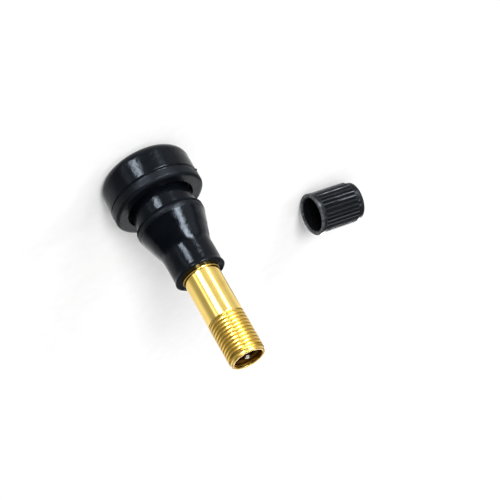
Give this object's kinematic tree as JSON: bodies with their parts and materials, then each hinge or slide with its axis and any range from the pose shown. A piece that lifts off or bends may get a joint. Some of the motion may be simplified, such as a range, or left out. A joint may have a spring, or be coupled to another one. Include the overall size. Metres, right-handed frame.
{
  "type": "tyre valve",
  "caption": "Snap-in tyre valve: a rubber body moulded round a threaded brass stem, with a spring-loaded core inside and its ribbed dust cap lying beside it.",
  "frame": {"origin": "on the stem's axis, at the flat bottom of the rubber base", "axes": "+Z along the stem towards its threaded tip, +Y away from the picture's viewer, and the cap lies behind the valve on the -X side"},
  "size_m": [0.0515, 0.069, 0.0473],
  "materials": {
    "rubber": "satin moulded rubber",
    "brass": "bright turned brass",
    "core_brass": "turned brass",
    "pin_steel": "plated steel",
    "spring_steel": "drawn spring wire",
    "gasket": "smooth sealing plastic",
    "seal_rubber": "matte rubber",
    "cap_plastic": "satin moulded plastic"
  },
  "bodies": {
    "valve": {"rubber_body": "rubber", "brass_stem": "brass", "dust_cap": "cap_plastic"},
    "core": {"core_barrel": "core_brass", "barrel_gasket": "gasket", "pin_spring": "spring_steel"},
    "plug": {"core_plug": "core_brass"},
    "pin": {"core_pin": "pin_steel", "seal_cup": "core_brass", "cup_seal": "seal_rubber"}
  },
  "joints": [
    {"name": "core_lift", "type": "slide", "parent": "valve", "child": "core", "axis": [0, 0, 1], "range_m": [0, 0.00423]},
    {"name": "core_turn", "type": "hinge", "parent": "core", "child": "plug", "pos_m": [0, 0, 0.0429], "axis": [0, 0, 1], "range_deg": [0, 2160]},
    {"name": "pin_press", "type": "slide", "parent": "core", "child": "pin", "axis": [0, 0, -1], "range_m": [0, 0.0014], "stiffness_N_per_m": 1200, "springref_m": -0.0015, "deforming": ["pin_spring"]}
  ],
  "couplings": [
    {"joint": "core_turn", "follows": "core_lift", "rad_per_m": 8904.7}
  ]
}
